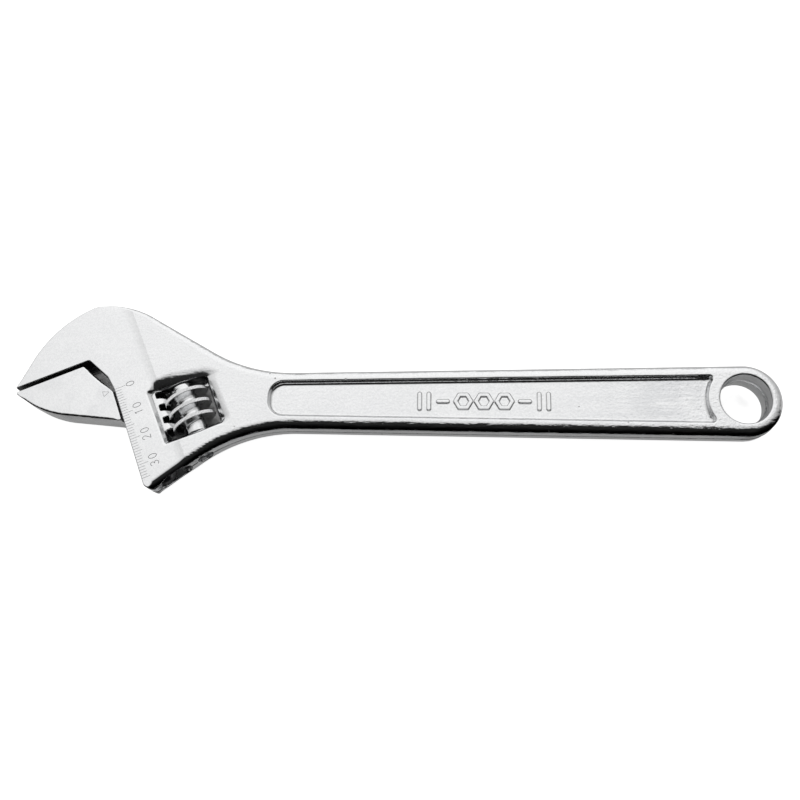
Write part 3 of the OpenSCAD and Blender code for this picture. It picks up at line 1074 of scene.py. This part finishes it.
def make_pointer(material):
    """Small triangle on the movable jaw that points at the scale."""
    corners = [(4.4, -4.6), (1.9, -3.5), (4.4, -2.4)]
    strokes = [(corners[k - 1], corners[k]) for k in range(3)]
    piece = strokes_mesh("jaw_pointer", strokes, TICK_W, LINE_TOP)
    piece.data.materials.append(material)
    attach(piece, "jaw")
    return piece


# ------------------------------------------------------------------ floor, light and camera


def make_floor(name, level, shade):
    """Large matt square at one height, with its shading."""
    size = 3.0
    mesh = bpy.data.meshes.new(name)
    corners = [(-size, -size), (size, -size), (size, size), (-size, size)]
    mesh.from_pydata([(x, y, level) for x, y in corners], [], [(0, 1, 2, 3)])
    floor = show(name, mesh)
    shading = Shading(name)
    for socket, value in (("Base Color", tone(shade)), ("Roughness", 1), ("Specular IOR Level", 0)):
        shading.shader.inputs[socket].default_value = value
    mesh.materials.append(shading.material)
    return floor, shading


def glow_where_open(shading, dark, light, strength):
    """Makes a floor glow like a light table, the glow cut by ambient occlusion under and near the wrench as a
    painted shadow; returns its openness and its glow.
    """
    occlusion = shading.node("ShaderNodeAmbientOcclusion")
    occlusion.inputs["Distance"].default_value = 0.02
    glow = shading.range(occlusion.outputs["AO"], dark, light, 0, strength, "LINEAR")
    shading.shader.inputs["Emission Color"].default_value = tone(1)
    shading.link(glow, shading.shader.inputs["Emission Strength"])
    return occlusion.outputs["AO"], glow


def make_stage():
    """Pale floor just under the wrench's lowest point, glowing with a painted shadow round the wrench, and a
    grey card that only the metal reflects.
    """
    level = -WORM_R * MM - 0.0002
    floor, shading = make_floor("pale_floor", level, 0.45)
    floor.visible_glossy = False
    floor.visible_diffuse = False
    floor.visible_shadow = False
    glow_where_open(shading, 0.12, 0.26, 0.95)
    grey = 0.5
    card, shading = make_floor("grey_card", level - 0.0001, grey)
    card.visible_camera = False
    # The card glows too, with the same painted shadow near the wrench, seen only in reflections
    openness, glow = glow_where_open(shading, 0.12, 0.5, 0.22)
    # The card is black in front of the wrench, away from it, so that only steep reflections are bright
    away = shading.range(openness, 0.7, 0.84, kind="LINEAR")
    in_front = shading.range(shading.axis("Y"), -0.002, -0.008, kind="LINEAR")
    kept = shading.math("SUBTRACT", 1, shading.math("MULTIPLY", away, in_front))
    shading.link(shading.math("MULTIPLY", kept, grey), shading.shader.inputs["Base Color"])
    shading.link(shading.math("MULTIPLY", kept, glow), shading.shader.inputs["Emission Strength"])


def make_light():
    """A white tent: bright overhead and behind, with a dark opening on the front side."""
    world = bpy.data.worlds.new("tent")
    bpy.context.scene.world = world
    world.use_nodes = True
    tent = Nodes(world.node_tree)
    background = tent.tree.nodes["Background"]
    background.inputs["Color"].default_value = tone(1)
    direction = tent.node("ShaderNodeTexCoord").outputs["Generated"]
    # Cosine of the angle from the middle of the opening, which is low on the -Y side and wide in x
    tilt = math.radians(78)
    squeezed = tent.math("MULTIPLY", direction, (0.45, 1, 1), kind="ShaderNodeVectorMath")
    even = tent.math("NORMALIZE", squeezed, kind="ShaderNodeVectorMath")
    middle = (0, -math.sin(tilt), math.cos(tilt))
    opening = tent.ramp(tent.math("DOT_PRODUCT", even, middle, kind="ShaderNodeVectorMath"), [
        (-0.45, 1.14), (-0.09, 1.05), (0.2, 0.88), (0.42, 0.7), (0.5, 0.35), (0.56, 0.02)])
    # Brightness by height: bright overhead, falling to grey low down at the front and the sides
    lift = tent.math("DOT_PRODUCT", direction, (0, 0.35, 1), kind="ShaderNodeVectorMath")
    height = tent.ramp(lift, [(-0.2, 0.22), (0.0, 0.3), (0.2, 0.65), (0.35, 0.9), (0.5, 1.0)])
    # Darker low down on the side of the jaws and on the side of the handle's end
    sideways = tent.node("ShaderNodeSeparateXYZ")
    tent.link(direction, sideways.inputs[0])
    side = tent.ramp(sideways.outputs["X"], [
        (-1.0, 0.7), (-0.8, 0.75), (-0.6, 0.88), (-0.35, 1.0), (0.45, 1.0), (0.7, 0.62), (0.95, 0.5)])
    strength = tent.math("MULTIPLY", tent.math("MULTIPLY", opening, height), side)
    tent.link(strength, background.inputs["Strength"])
    bpy.context.scene.view_settings.view_transform = "Standard"


def make_camera():
    camera = bpy.data.objects.new("camera", bpy.data.cameras.new("camera"))
    bpy.context.scene.collection.objects.link(camera)
    camera.location = Vector(CAMERA_AT) * MM
    forward = Vector(CAMERA_FORWARD).normalized()
    right = forward.cross(Vector(CAMERA_UP)).normalized()
    up = right.cross(forward)
    camera.rotation_euler = Matrix((right, up, -forward)).transposed().to_euler()
    camera.data.lens = CAMERA_LENS
    camera.data.sensor_width = 36
    camera.data.clip_start = 0.01
    bpy.context.scene.camera = camera


make_camera()
make_light()
make_stage()
make_body(forged_chrome("forged_chrome"))
make_jaw(ground_chrome("jaw_chrome", 0.35))
make_worm(ground_chrome("worm_chrome", 0.1))
make_pin(turned_steel("pin_steel", (0.62, 0.63, 0.65), 0.5))
make_spring(turned_steel("spring_steel", (0.42, 0.43, 0.45), 0.7))
make_scale("scale_ticks", tick_strokes(), TICK_W, etched("etched_ticks", (0.3, 0.3, 0.31)))
make_scale("scale_digits", digit_strokes(), DIGIT_LINE_W, etched("etched_digits", (0.1, 0.1, 0.11)))
make_pointer(etched("etched_pointer", (0.3, 0.3, 0.31)))
